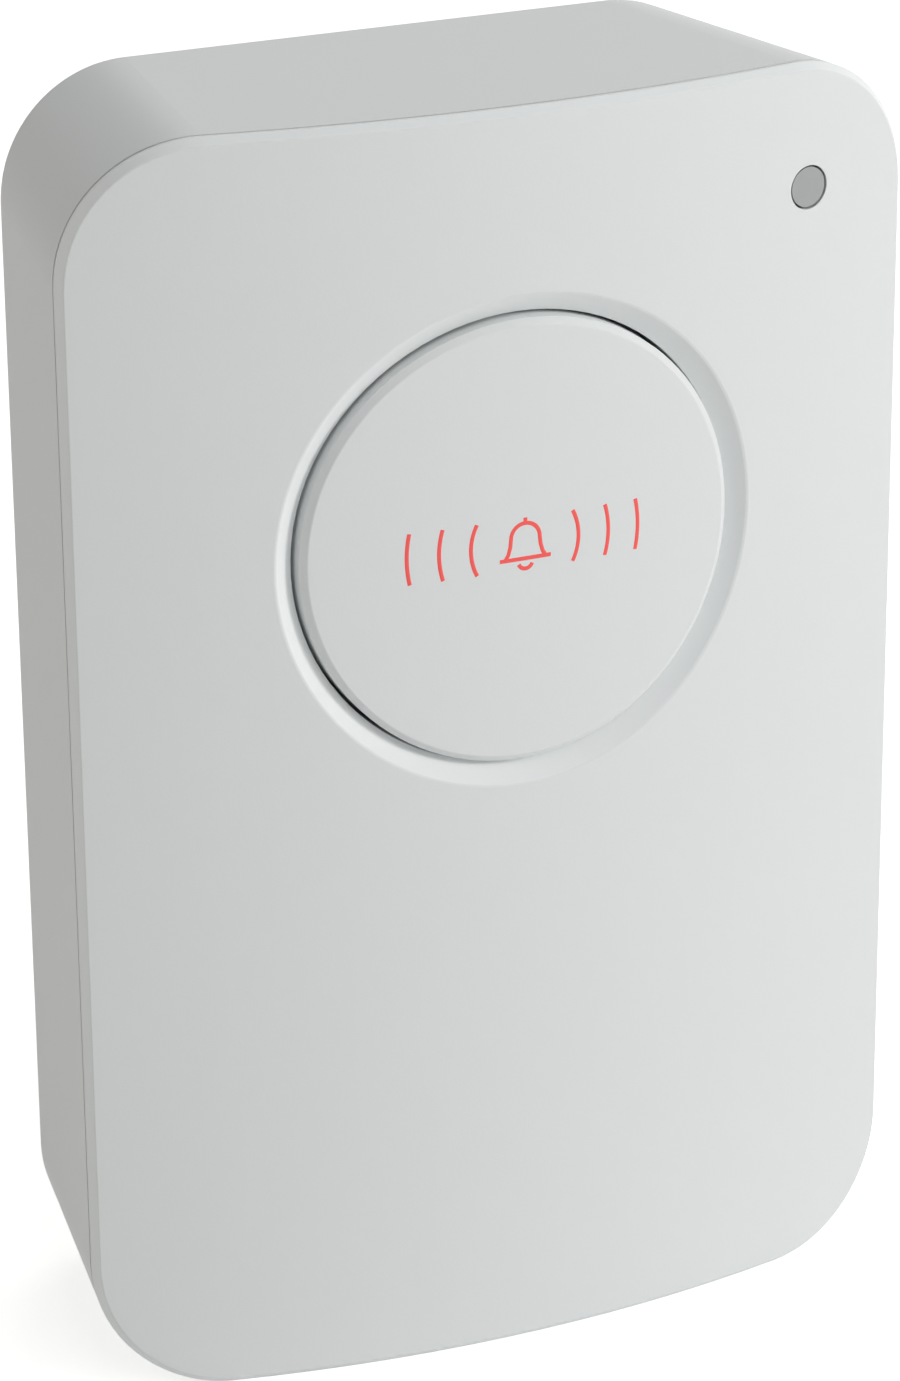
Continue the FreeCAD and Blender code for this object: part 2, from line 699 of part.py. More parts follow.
def circuit_board():
    """The circuit board, with holes for the case screws and the ends of the antenna."""
    bottom = HOUSING_WALL + BOARD_SIDE_GAP
    board = rounded_slab(board_half_width(), bottom, board_top(), BOARD_CORNER_R, BOARD_BACK, BOARD_FRONT)
    for x, z in SCREW_SPOTS:
        board = board.cut(disc(x, z, SCREW_HOLE_R, BOARD_BACK, BOARD_FRONT))
    for x, z in antenna_ends():
        board = board.cut(disc(x, z, ANTENNA_R + ANTENNA_HOLE_GAP, BOARD_BACK, BOARD_FRONT))
    return board


def on_board(spot):
    """The x and z of a part on the board, whose spot is counted from the button's axis."""
    x, z = spot
    return x, BUTTON_Z + z


def chip(spot, size, thick):
    """A square chip with bevelled upper edges, on the front of the board."""
    x, z = on_board(spot)
    body = centred_block(x, z, size, size, BOARD_FRONT, BOARD_FRONT + thick)
    upper = edges_where(body, lambda p: abs(p.y - at(0, 0, BOARD_FRONT + thick).y) < SAME_PLACE)
    return body.makeChamfer(CHIP_BEVEL, upper)


def crystal():
    """The crystal: a ceramic base with a smaller metal lid."""
    x, z = on_board(CRYSTAL_SPOT)
    step = BOARD_FRONT + CRYSTAL_BASE
    base = centred_block(x, z, CRYSTAL_LENGTH, CRYSTAL_WIDTH, BOARD_FRONT, step)
    rim = 2 * CHIP_BEVEL
    lid = centred_block(x, z, CRYSTAL_LENGTH - rim, CRYSTAL_WIDTH - rim, step, step + CRYSTAL_LID)
    return joined([base, lid])


def chip_parts():
    """The rows of small capacitors and resistors."""
    parts = []
    for spot in CHIP_ROW_SPOTS:
        centre_x, z = on_board(spot)
        for index in range(CHIP_ROW_COUNT):
            x = centre_x + (index - (CHIP_ROW_COUNT - 1) / 2) * CHIP_PART_PITCH
            part = centred_block(x, z, CHIP_PART_WIDTH, CHIP_PART_LENGTH,
                                 BOARD_FRONT, BOARD_FRONT + CHIP_PART_THICK)
            parts.append(part)
    return Part.makeCompound(parts)


def status_led():
    """The status light on the board: a flat base with a round lens."""
    base_front = BOARD_FRONT + LED_BASE
    base = centred_block(LIGHT_X, LIGHT_Z, LED_WIDTH, LED_LENGTH, BOARD_FRONT, base_front)
    lens = Part.makeSphere(LED_DOME_R, at(LIGHT_X, LIGHT_Z, base_front))
    lens = lens.common(disc(LIGHT_X, LIGHT_Z, LED_DOME_R * 2, base_front, base_front + LED_DOME_R))
    return joined([base, lens])


def bent_path(points, radius):
    """A wire along straight runs, joined by tangent arcs of one radius."""
    edges = []
    start = points[0]
    for before, corner, after in zip(points, points[1:], points[2:]):
        towards = (before - corner).normalize()
        onwards = (after - corner).normalize()
        entry = corner + towards * radius
        leave = corner + onwards * radius
        centre = entry + onwards * radius
        mid = centre + (corner - centre).normalize() * radius
        edges.append(Part.LineSegment(start, entry).toShape())
        edges.append(Part.Arc(entry, mid, leave).toShape())
        start = leave
    edges.append(Part.LineSegment(start, points[-1]).toShape())
    return Part.Wire(edges)


def antenna():
    """The bent wire antenna: up from the board, along its edge, across, and back down."""
    lifted = BOARD_FRONT + ANTENNA_LIFT
    (foot_x, foot_z), (end_x, end_z) = antenna_ends()
    path = bent_path([
        at(foot_x, foot_z, BOARD_BACK),
        at(foot_x, foot_z, lifted),
        at(foot_x, end_z, lifted),
        at(end_x, end_z, lifted),
        at(end_x, end_z, BOARD_BACK),
    ], ANTENNA_BEND_R)
    end = Part.makeCircle(ANTENNA_R, at(foot_x, foot_z, BOARD_BACK), FRONT)
    return path.makePipeShell([Part.Wire(end)], True, False)


def holder_ring_r():
    """The outer radius of the cell holder."""
    return CELL_R + HOLDER_GAP + HOLDER_WALL


def battery_holder():
    """The moulded cradle of the cell: a floor and a wall that is open towards the bottom."""
    back = BOARD_BACK - HOLDER_REACH
    outer = disc(0, CELL_Z, holder_ring_r(), back, BOARD_BACK)
    inner = disc(0, CELL_Z, CELL_R + HOLDER_GAP, back - MARGIN, BOARD_BACK - HOLDER_FLOOR)
    holder = outer.cut(inner)
    half = math.radians(HOLDER_MOUTH_ANGLE / 2)
    reach = holder_ring_r() * 2
    corners = [
        at(0, CELL_Z, back - MARGIN),
        at(-reach * math.sin(half), CELL_Z - reach * math.cos(half), back - MARGIN),
        at(reach * math.sin(half), CELL_Z - reach * math.cos(half), back - MARGIN),
    ]
    mouth = Part.Face(Part.makePolygon(corners + corners[:1]))
    mouth = mouth.extrude(FRONT * (HOLDER_REACH + MARGIN - HOLDER_FLOOR))
    holder = holder.cut(mouth)
    slot_width = STRIP_WIDTH + 2 * STRIP_GAP
    slot = block(-slot_width / 2, slot_width / 2, CELL_Z + CELL_R / 2, CELL_Z + 2 * CELL_R, back - MARGIN,
                 back + HOLDER_REACH / 3)
    window = centred_block(0, CELL_Z, SPRING_LENGTH + 2 * STRIP_GAP, SPRING_WIDTH + 2 * STRIP_GAP,
                           BOARD_BACK - HOLDER_FLOOR, BOARD_BACK)
    return holder.cut(slot).cut(window)


def contact_positive():
    """The strip that runs up outside the holder and bends over the back of the cell."""
    outer = CELL_Z + holder_ring_r() + STRIP_GAP
    back = CELL_BACK - STRIP_GAP - STRIP_THICK
    half = STRIP_WIDTH / 2
    upright = block(-half, half, outer, outer + STRIP_THICK, back, BOARD_BACK)
    tongue_end = CELL_Z + CELL_R - STRIP_TONGUE
    tongue = block(-half, half, tongue_end, outer + STRIP_THICK, back, back + STRIP_THICK)
    foot = block(-half, half, outer, outer + STRIP_FOOT, BOARD_BACK - STRIP_THICK, BOARD_BACK)
    return joined([upright, tongue, foot])


def contact_negative():
    """The bowed leaf spring between the board and the cell."""
    rise = CELL_FRONT_ROOM - STRIP_GAP - SPRING_THICK
    half = SPRING_LENGTH / 2
    low = CELL_Z - SPRING_WIDTH / 2
    outer = Part.Arc(at(-half, low, BOARD_BACK), at(0, low, BOARD_BACK - rise), at(half, low, BOARD_BACK))
    under = BOARD_BACK - SPRING_THICK
    inner = Part.Arc(at(half, low, under), at(0, low, under - rise), at(-half, low, under))
    ends = [
        Part.LineSegment(at(half, low, BOARD_BACK), at(half, low, under)),
        Part.LineSegment(at(-half, low, under), at(-half, low, BOARD_BACK)),
    ]
    outline = Part.Wire([outer.toShape(), ends[0].toShape(), inner.toShape(), ends[1].toShape()])
    return Part.Face(outline).extrude(FreeCAD.Vector(0, 0, SPRING_WIDTH))


def coin_cell():
    """The coin cell: a can with a crimped rim and a smaller cap towards the board."""
    can_front = CELL_FRONT - CELL_CAP_HEIGHT
    can = disc(0, CELL_Z, CELL_R, CELL_BACK, can_front - CELL_CRIMP)
    back_rim = edges_where(can, lambda p: abs(p.y - at(0, 0, CELL_BACK).y) < SAME_PLACE)
    can = can.makeFillet(CELL_EDGE_R, back_rim)
    crimp = flare(0, CELL_Z, CELL_R, CELL_R - CELL_CRIMP, can_front - CELL_CRIMP, can_front)
    cap = disc(0, CELL_Z, CELL_CAP_R, can_front, CELL_FRONT)
    return joined([can, crimp, cap])


def housing_screws():
    """The case screws, each with a round head and a crossed drive."""
    head_back = SCREW_SEAT_DEPTH - SCREW_HEAD_HEIGHT
    screws = []
    for x, z in SCREW_SPOTS:
        head = disc(x, z, SCREW_HEAD_R, head_back, SCREW_SEAT_DEPTH)
        rim = edges_where(head, lambda p: abs(p.y - at(0, 0, head_back).y) < SAME_PLACE)
        head = head.makeFillet(SCREW_HEAD_HEIGHT / 3, rim)
        shank = disc(x, z, SCREW_SHANK_R, SCREW_SEAT_DEPTH, SCREW_TIP)
        screw = joined([head, shank])
        long = 1.2 * SCREW_HEAD_R
        for width, height in ((long, DRIVE_SLOT), (DRIVE_SLOT, long)):
            slot = centred_block(x, z, width, height, head_back - MARGIN, head_back + DRIVE_DEPTH)
            screw = screw.cut(slot)
        screws.append(screw)
    return Part.makeCompound(screws)


def wall_plate():
    """The plate that screws to a wall, with lugs for the housing and a spring tongue."""
    back = -PLATE_PROUD
    front = back + PLATE_THICK
    low = PLATE_TOP - PLATE_HEIGHT
    plate = rounded_slab(PLATE_WIDTH / 2, low, PLATE_TOP, PLATE_CORNER_R, back, front)
    lugs = []
    for side in (-1, 1):
        for shift in (-LUG_SPREAD, LUG_SPREAD):
            x = side * PLATE_WIDTH / 2
            lug = centred_block(x, PLATE_Z + shift, 2 * LUG_REACH, LUG_LENGTH, front - LUG_THICK, front)
            lugs.append(lug)
    plate = joined([plate] + lugs)
    hole_shift = PLATE_HEIGHT / 2 - PLATE_HOLE_END
    for shift in (-hole_shift, hole_shift):
        sink = PLATE_SINK_R - PLATE_HOLE_R
        plate = plate.cut(disc(0, PLATE_Z + shift, PLATE_HOLE_R, back, front))
        plate = plate.cut(flare(0, PLATE_Z + shift, PLATE_HOLE_R, PLATE_SINK_R, front - sink, front))
    clip = centred_block(0, PLATE_Z, TONGUE_CLIP_WIDTH, TONGUE_CLIP_LENGTH, back, front)
    around = block(
        -TONGUE_CLIP_WIDTH / 2 - TONGUE_CLIP_SLIT,
        TONGUE_CLIP_WIDTH / 2 + TONGUE_CLIP_SLIT,
        PLATE_Z - TONGUE_CLIP_LENGTH / 2 - TONGUE_CLIP_SLIT,
        PLATE_Z + TONGUE_CLIP_LENGTH / 2,
        back,
        front,
    )
    plate = plate.cut(around.cut(clip))
    return joined([plate, detent_bar(DETENT_R, DETENT_OUT, front)])


def main():
    pieces = {
        "front_cover": front_cover(),
        "rear_housing": rear_housing(),
        "button_cap": button_cap(),
        "return_ring": return_ring(),
        "light_pipe": light_pipe(),
        "switch_base": switch_base(),
        "switch_cover": switch_cover(),
        "switch_dome": switch_dome(),
        "switch_plunger": switch_plunger(),
        "switch_terminals": switch_terminals(),
        "circuit_board": circuit_board(),
        "microcontroller": chip(CONTROLLER_SPOT, CONTROLLER_SIZE, CONTROLLER_THICK),
        "radio_chip": chip(RADIO_SPOT, RADIO_SIZE, RADIO_THICK),
        "crystal": crystal(),
        "chip_parts": chip_parts(),
        "status_led": status_led(),
        "antenna": antenna(),
        "battery_holder": battery_holder(),
        "contact_positive": contact_positive(),
        "contact_negative": contact_negative(),
        "coin_cell": coin_cell(),
        "housing_screws": housing_screws(),
        "wall_plate": wall_plate(),
    }
    os.makedirs("parts", exist_ok=True)
    for name, shape in pieces.items():
        shape.exportStep(f"parts/{name}.step")


main()
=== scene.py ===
import bpy
import math
from mathutils import Matrix, Vector


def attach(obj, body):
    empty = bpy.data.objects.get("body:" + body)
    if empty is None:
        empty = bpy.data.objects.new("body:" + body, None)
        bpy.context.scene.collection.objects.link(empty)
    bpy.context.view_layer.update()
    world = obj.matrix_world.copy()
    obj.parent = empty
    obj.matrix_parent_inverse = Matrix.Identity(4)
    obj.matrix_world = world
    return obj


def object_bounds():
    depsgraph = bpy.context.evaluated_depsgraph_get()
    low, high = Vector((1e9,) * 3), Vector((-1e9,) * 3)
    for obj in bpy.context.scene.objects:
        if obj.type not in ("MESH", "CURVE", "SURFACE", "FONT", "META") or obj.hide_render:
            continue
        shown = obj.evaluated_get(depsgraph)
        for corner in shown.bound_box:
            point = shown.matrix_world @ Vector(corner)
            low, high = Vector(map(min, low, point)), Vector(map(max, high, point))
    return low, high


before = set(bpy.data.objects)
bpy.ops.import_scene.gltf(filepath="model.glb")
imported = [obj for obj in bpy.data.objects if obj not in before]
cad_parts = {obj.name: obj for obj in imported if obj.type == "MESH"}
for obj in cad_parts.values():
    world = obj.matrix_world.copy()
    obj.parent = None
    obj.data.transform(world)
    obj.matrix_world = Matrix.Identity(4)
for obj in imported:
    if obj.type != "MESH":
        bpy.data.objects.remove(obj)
cad_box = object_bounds()

# Camera: it stands to the left of the button and a little above it, as in the photograph. Its
# turn, tip, roll, distance and lens were solved from the outline and the edges of the case.
MM = 0.001
HEIGHT = 61.7
CASE_BACK = 8.85
TURN, TIP, ROLL = (math.radians(angle) for angle in (23.457, 22.013, -0.483))
BACK_MIDDLE = Vector((0.0, CASE_BACK, HEIGHT / 2)) * MM
BACK_FROM_CAMERA = Vector((-3.645, 249.676, 3.132)) * MM
LENS = 131.4276
SENSOR_HEIGHT = 36.0

tipped_and_rolled = Matrix.Rotation(ROLL, 3, "Y") @ Matrix.Rotation(TIP, 3, "X")
from_camera = (tipped_and_rolled @ Matrix.Rotation(TURN, 3, "Z")).transposed()
stand = BACK_MIDDLE - from_camera @ BACK_FROM_CAMERA
facing = from_camera @ Matrix.Rotation(math.radians(90), 3, "X")
bpy.ops.object.camera_add()
camera = bpy.context.object
camera.name = "camera"
camera.matrix_world = Matrix.Translation(stand) @ facing.to_4x4()
camera.data.sensor_fit = "VERTICAL"
camera.data.sensor_height = SENSOR_HEIGHT
camera.data.lens = LENS
camera.data.clip_start = 0.01
camera.data.clip_end = 10.0
bpy.context.scene.camera = camera

# Rear housing: a deep tub, injection-moulded in off-white plastic from a tool with a fine
# spark-eroded grain. Its side walls taper towards the back, and three screws hold it shut.
WHITE_PLASTIC = (0.762, 0.786, 0.79, 1.0)
HALF_WIDTH = 21.0
HALF_HEIGHT = HEIGHT / 2
CROWN_RISE = 3.4
CROWN_R = (HALF_WIDTH ** 2 + CROWN_RISE ** 2) / (2 * CROWN_RISE)
CROWN_FRONT = cad_box[0][1] / MM
BUTTON_DROP = 20.4
BUTTON_Z = HEIGHT - BUTTON_DROP
DISH_REACH = 13.5
# The bevel and the seam lie past this share of the half width or half height.
OUTER_PART = 0.86
# Depths behind the crowned face in millimetres, and how softly they blend.
EDGE_START = 0.022
EDGE_FULL = 0.045
SEAM_FRONT = 0.6
SEAM_GAP = 0.2
SEAM_BACK = SEAM_FRONT + SEAM_GAP
SEAM_BLEND = 0.02
DISH_BACK = 1.6
DISH_BLEND = 0.2


def feed(tree, node, inputs):
    """Gives each named or numbered input of a node a socket to read or a plain value."""
    for key, value in inputs.items():
        if isinstance(value, bpy.types.NodeSocket):
            tree.links.new(value, node.inputs[key])
        else:
            node.inputs[key].default_value = value


def add_node(tree, kind, inputs=None, **settings):
    """A new shader node with its settings and its inputs."""
    node = tree.nodes.new(kind)
    for name, value in settings.items():
        setattr(node, name, value)
    feed(tree, node, inputs or {})
    return node


def reckon(tree, operation, *values):
    """The result of a Math node on sockets or plain values."""
    return add_node(tree, "ShaderNodeMath", dict(enumerate(values)), operation=operation).outputs[0]


def tint(tree, color, factor):
    """A colour made lighter or darker by a factor."""
    inputs = {0: color, "Scale": factor}
    return add_node(tree, "ShaderNodeVectorMath", inputs, operation="SCALE").outputs["Vector"]


def new_effect(name, inputs, outputs):
    """A shader node group, the sockets that it is given and the node that takes its results."""
    group = bpy.data.node_groups.new(name, "ShaderNodeTree")
    for socket, kind, value in inputs:
        made = group.interface.new_socket(socket, in_out="INPUT", socket_type="NodeSocket" + kind)
        made.default_value = value
    for socket, kind in outputs:
        group.interface.new_socket(socket, in_out="OUTPUT", socket_type="NodeSocket" + kind)
    return group, add_node(group, "NodeGroupInput").outputs, add_node(group, "NodeGroupOutput")


def moulded_grain():
    """Fine spark-eroded grain with faint flow shading, for every moulded plastic."""
    group, given, result = new_effect(
        "Moulded grain",
        (
            ("Color", "Color", (0.8, 0.8, 0.8, 1.0)),
            ("Grain Size", "Float", 0.12),
            ("Shading", "Float", 0.02),
            ("Roughness", "Float", 0.5),
            ("Roughness Spread", "Float", 0.06),
        ),
        (("Color", "Color"), ("Roughness", "Float"), ("Height", "Float")),
    )
    place = add_node(group, "ShaderNodeTexCoord").outputs["Object"]
    per_metre = reckon(group, "DIVIDE", 1 / MM, given["Grain Size"])
    grain_inputs = {"Vector": place, "Scale": per_metre, "Detail": 3.0, "Roughness": 0.6}
    grain = add_node(group, "ShaderNodeTexNoise", grain_inputs).outputs["Fac"]
    flow_inputs = {"Vector": place, "Scale": 55.0, "Detail": 2.0}
    flow = add_node(group, "ShaderNodeTexNoise", flow_inputs).outputs["Fac"]
    both_inputs = {"Factor": 0.35, "A": flow, "B": grain}
    both = add_node(group, "ShaderNodeMix", both_inputs, data_type="FLOAT").outputs["Result"]
    centred = reckon(group, "SUBTRACT", both, 0.5)
    shade = reckon(group, "MULTIPLY_ADD", centred, given["Shading"], 1.0)
    dull = reckon(group, "MULTIPLY_ADD", centred, given["Roughness Spread"], given["Roughness"])
    feed(group, result, {"Color": tint(group, given["Color"], shade), "Roughness": dull, "Height": grain})
    return group


def shader_of(material):
    """The Principled BSDF of a material."""
    return material.node_tree.nodes["Principled BSDF"]


def new_material(name, effect, values, depth):
    """A material with the colour, roughness and relief of an effect; depth in millimetres."""
    material = bpy.data.materials.new(name)
    material.use_nodes = True
    tree = material.node_tree
    look = add_node(tree, "ShaderNodeGroup", values, node_tree=effect).outputs
    relief = {"Strength": 1.0, "Distance": depth * MM, "Height": look["Height"]}
    normal = add_node(tree, "ShaderNodeBump", relief).outputs["Normal"]
    inputs = {"Base Color": look["Color"], "Roughness": look["Roughness"], "Normal": normal}
    feed(tree, shader_of(material), inputs)
    return material


MOULDED_GRAIN = moulded_grain()


def moulded_plastic(name, color, roughness, grain_size=0.12, depth=0.004, shading=0.02):
    """A moulded plastic with its own colour and grain; sizes in millimetres."""
    values = {"Color": color, "Roughness": roughness, "Grain Size": grain_size, "Shading": shading}
    material = new_material(name, MOULDED_GRAIN, values, depth)
    shader_of(material).inputs["Specular IOR Level"].default_value = 0.35
    return material


def rise(tree, depth, start, end):
    """Grows from 0 to 1 between two depths, given in millimetres."""
    inputs = {"Value": depth, "From Min": start * MM, "From Max": end * MM}
    return add_node(tree, "ShaderNodeMapRange", inputs).outputs["Result"]


def painted_edge_light_and_shade():
    """Painted highlight on the bevel and the dish of the crowned face, and painted shade in the seam
    behind it.
    """
    group, given, result = new_effect(
        "Painted edge light and shade",
        (
            ("Color", "Color", (0.8, 0.8, 0.8, 1.0)),
            ("Painted Highlight", "Float", 0.1),
            ("Painted Seam Shade", "Float", 0.1),
        ),
        (("Color", "Color"),),
    )
    place = add_node(group, "ShaderNodeTexCoord").outputs["Object"]
    across, back, up = add_node(group, "ShaderNodeSeparateXYZ", {0: place}).outputs
    squared = reckon(group, "MULTIPLY", across, across)
    chord = reckon(group, "SQRT", reckon(group, "SUBTRACT", (CROWN_R * MM) ** 2, squared))
    depth = reckon(group, "SUBTRACT", reckon(group, "ADD", back, chord), (CROWN_FRONT + CROWN_R) * MM)
    to_side = reckon(group, "DIVIDE", reckon(group, "ABSOLUTE", across), HALF_WIDTH * MM)
    from_middle = reckon(group, "SUBTRACT", up, HALF_HEIGHT * MM)
    to_end = reckon(group, "DIVIDE", reckon(group, "ABSOLUTE", from_middle), HALF_HEIGHT * MM)
    outer = reckon(group, "GREATER_THAN", reckon(group, "MAXIMUM", to_side, to_end), OUTER_PART)
    above_button = reckon(group, "SUBTRACT", up, BUTTON_Z * MM)
    button_away = reckon(group, "ADD", squared, reckon(group, "MULTIPLY", above_button, above_button))
    near_button = reckon(group, "LESS_THAN", button_away, (DISH_REACH * MM) ** 2)
    below_face = rise(group, depth, EDGE_START, EDGE_FULL)
    in_seam = rise(group, depth, SEAM_FRONT - SEAM_BLEND, SEAM_FRONT + SEAM_BLEND)
    past_seam = rise(group, depth, SEAM_BACK - SEAM_BLEND, SEAM_BACK + SEAM_BLEND)
    past_dish = rise(group, depth, DISH_BACK, DISH_BACK + DISH_BLEND)
    bevel = reckon(group, "MULTIPLY", outer, reckon(group, "SUBTRACT", below_face, in_seam))
    dish = reckon(group, "MULTIPLY", near_button, reckon(group, "SUBTRACT", below_face, past_dish))
    seam = reckon(group, "MULTIPLY", outer, reckon(group, "SUBTRACT", in_seam, past_seam))
    # Painted highlight lightens the bevel and the dish, and painted shade darkens the seam.
    painted_highlight = reckon(group, "MULTIPLY", reckon(group, "ADD", bevel, dish), given["Painted Highlight"])
    painted_seam_shade = reckon(group, "MULTIPLY", seam, given["Painted Seam Shade"])
    painted_light_change = reckon(group, "SUBTRACT", painted_highlight, painted_seam_shade)
    feed(group, result, {"Color": tint(group, given["Color"], reckon(group, "ADD", painted_light_change, 1.0))})
    return group


def dress(node, material):
    """Gives a CAD node its finish."""
    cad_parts[node].material_slots[0].material = material


case_plastic = moulded_plastic("Off-white case plastic", WHITE_PLASTIC, roughness=0.7)
tree = case_plastic.node_tree
moulded_color = shader_of(case_plastic).inputs["Base Color"].links[0].from_socket
# The case colour gets a painted highlight on the bevel and dish and painted shade in the seam.
painted_edge_inputs = {"Color": moulded_color, "Painted Highlight": 0.08, "Painted Seam Shade": 0.35}
edge = add_node(tree, "ShaderNodeGroup", painted_edge_inputs, node_tree=painted_edge_light_and_shade())
feed(tree, shader_of(case_plastic), {"Base Color": edge.outputs["Color"]})
dress("rear_housing", case_plastic)

# Coin cell: a nickel-plated steel can, crimped over a smaller cap on the side of the board.
# Its sheet comes bright from the press, with the faint marks of rolling and plating.


def worked_metal():
    """Fine marks and tarnish of a pressed, plated or drawn metal."""
    group, given, result = new_effect(
        "Worked metal",
        (
            ("Color", "Color", (0.7, 0.7, 0.7, 1.0)),
            ("Mark Size", "Float", 0.2),
            ("Stretch", "Vector", (1.0, 1.0, 1.0)),
            ("Tarnish", "Float", 0.15),
            ("Roughness", "Float", 0.3),
            ("Roughness Spread", "Float", 0.2),
        ),
        (("Color", "Color"), ("Roughness", "Float"), ("Height", "Float")),
    )
    place = add_node(group, "ShaderNodeTexCoord").outputs["Object"]
    stretching = {0: place, 1: given["Stretch"]}
    drawn = add_node(group, "ShaderNodeVectorMath", stretching, operation="MULTIPLY").outputs["Vector"]
    per_metre = reckon(group, "DIVIDE", 1 / MM, given["Mark Size"])
    mark_inputs = {"Vector": drawn, "Scale": per_metre, "Detail": 4.0}
    marks = add_node(group, "ShaderNodeTexNoise", mark_inputs).outputs["Fac"]
    cloud_inputs = {"Vector": place, "Scale": 140.0, "Detail": 3.0}
    cloud = add_node(group, "ShaderNodeTexNoise", cloud_inputs).outputs["Fac"]
    keep = reckon(group, "SUBTRACT", 1.0, reckon(group, "MULTIPLY", cloud, given["Tarnish"]))
    centred = reckon(group, "SUBTRACT", marks, 0.5)
    dull = reckon(group, "MULTIPLY_ADD", centred, given["Roughness Spread"], given["Roughness"])
    feed(group, result, {"Color": tint(group, given["Color"], keep), "Roughness": dull, "Height": marks})
    return group


WORKED_METAL = worked_metal()
CAN_NICKEL = (0.76, 0.76, 0.74, 1.0)
EVEN = (1.0, 1.0, 1.0)


def plated_metal(name, color, roughness, mark_size, stretch=EVEN, depth=0.003, tarnish=0.15):
    """A metal with its own colour and working marks; sizes in millimetres."""
    values = {
        "Color": color,
        "Roughness": roughness,
        "Mark Size": mark_size,
        "Stretch": stretch,
        "Tarnish": tarnish,
    }
    material = new_material(name, WORKED_METAL, values, depth)
    shader_of(material).inputs["Metallic"].default_value = 1.0
    return material


can_steel = plated_metal("Nickel-plated cell can", CAN_NICKEL, roughness=0.24, mark_size=0.5, depth=0.002)
dress("coin_cell", can_steel)

# Cell holder and contacts: a black moulded cradle on the back of the board, a strip that bends
# over the cell, and a bowed leaf spring under it. Both contacts are stamped from tinned steel.
HOLDER_BLACK = (0.035, 0.035, 0.037, 1.0)
TINNED_STEEL = (0.72, 0.71, 0.68, 1.0)
ROLLED = (1.0, 1.0, 0.08)

holder_plastic = moulded_plastic("Black holder plastic", HOLDER_BLACK, roughness=0.42, shading=0.2)
dress("battery_holder", holder_plastic)
strip_steel = plated_metal(
    "Tinned strip steel", TINNED_STEEL, roughness=0.32, mark_size=0.15, stretch=ROLLED
)
dress("contact_positive", strip_steel)
dress("contact_negative", strip_steel)

# Circuit board: glass laminate under a green lacquer. Copper tracks run under the lacquer and
# show through it as slightly lighter, raised lines.
LACQUER_GREEN = (0.012, 0.115, 0.05, 1.0)
TRACK_GREEN = (0.03, 0.2, 0.085, 1.0)
TRACK_WIDTH = 0.12
TRACK_HEIGHT = 0.02
TRACK_RUN = 3.1
TRACK_SPACING = 0.9

board_laminate = bpy.data.materials.new("Lacquered board laminate")
board_laminate.use_nodes = True
tree = board_laminate.node_tree
place = add_node(tree, "ShaderNodeTexCoord").outputs["Object"]
turning = {"Vector": place, "Rotation": (math.radians(90), 0.0, 0.0)}
flat_place = add_node(tree, "ShaderNodeMapping", turning).outputs["Vector"]
track_inputs = {
    "Vector": flat_place,
    "Color1": LACQUER_GREEN,
    "Color2": LACQUER_GREEN,
    "Mortar": TRACK_GREEN,
    "Scale": 1.0,
    "Mortar Size": TRACK_WIDTH * MM,
    "Mortar Smooth": 0.2,
    "Brick Width": TRACK_RUN * MM,
    "Row Height": TRACK_SPACING * MM,
}
stagger = {"offset": 0.37, "offset_frequency": 2, "squash": 0.6, "squash_frequency": 3}
tracks = add_node(tree, "ShaderNodeTexBrick", track_inputs, **stagger).outputs
track_relief = {"Distance": TRACK_HEIGHT * MM, "Height": tracks["Fac"]}
track_normal = add_node(tree, "ShaderNodeBump", track_relief).outputs["Normal"]
board_look = {"Base Color": tracks["Color"], "Roughness": 0.3, "Normal": track_normal}
feed(tree, shader_of(board_laminate), board_look)
dress("circuit_board", board_laminate)

# Parts on the board: two moulded chips, the crystal in its metal lid, and rows of small fired
# ceramic capacitors and resistors with bare ends.
RESIN_BLACK = (0.022, 0.022, 0.024, 1.0)
CERAMIC_BROWN = (0.42, 0.3, 0.19, 1.0)
LID_METAL = (0.74, 0.73, 0.7, 1.0)

chip_resin = moulded_plastic(
    "Black chip resin", RESIN_BLACK, roughness=0.5, grain_size=0.05, depth=0.003, shading=0.3
)
dress("microcontroller", chip_resin)
dress("radio_chip", chip_resin)
dress("crystal", plated_metal("Crystal lid metal", LID_METAL, roughness=0.28, mark_size=0.1))
fired_ceramic = moulded_plastic(
    "Fired capacitor ceramic", CERAMIC_BROWN, roughness=0.4, grain_size=0.08, shading=0.25
)
dress("chip_parts", fired_ceramic)

# Status light and light pipe: a clear epoxy lens over the emitter, and a grey-tinted acrylic rod
# that carries its light to the window in the cover. The rod's polished end is the grey spot.
LAMP_CREAM = (0.78, 0.76, 0.62, 1.0)
PIPE_GREY = (0.36, 0.37, 0.375, 1.0)

dress("status_led", moulded_plastic("Cloudy lamp epoxy", LAMP_CREAM, roughness=0.2, depth=0.001))
pipe_acrylic = moulded_plastic(
    "Grey light pipe acrylic", PIPE_GREY, roughness=0.28, grain_size=0.3, depth=0.001, shading=0.05
)
shader_of(pipe_acrylic).inputs["Coat Weight"].default_value = 0.25
dress("light_pipe", pipe_acrylic)

# Antenna: a springy tinned copper wire, bent up from the board and soldered in again at its top.
# The drawing die leaves long fine marks, and the copper shows warm through the thin tin.
WIRE_COPPER = (0.78, 0.56, 0.36, 1.0)
DRAWN = (1.0, 1.0, 0.1)

antenna_wire = plated_metal(
    "Tinned antenna wire", WIRE_COPPER, roughness=0.3, mark_size=0.08, stretch=DRAWN
)
dress("antenna", antenna_wire)

# Push switch: a black moulded base with soldered legs, a thin metal cover, a snap dome and a
# black plunger, which the post of the button pushes.
SWITCH_BLACK = (0.025, 0.025, 0.027, 1.0)
DOME_STEEL = (0.76, 0.74, 0.7, 1.0)

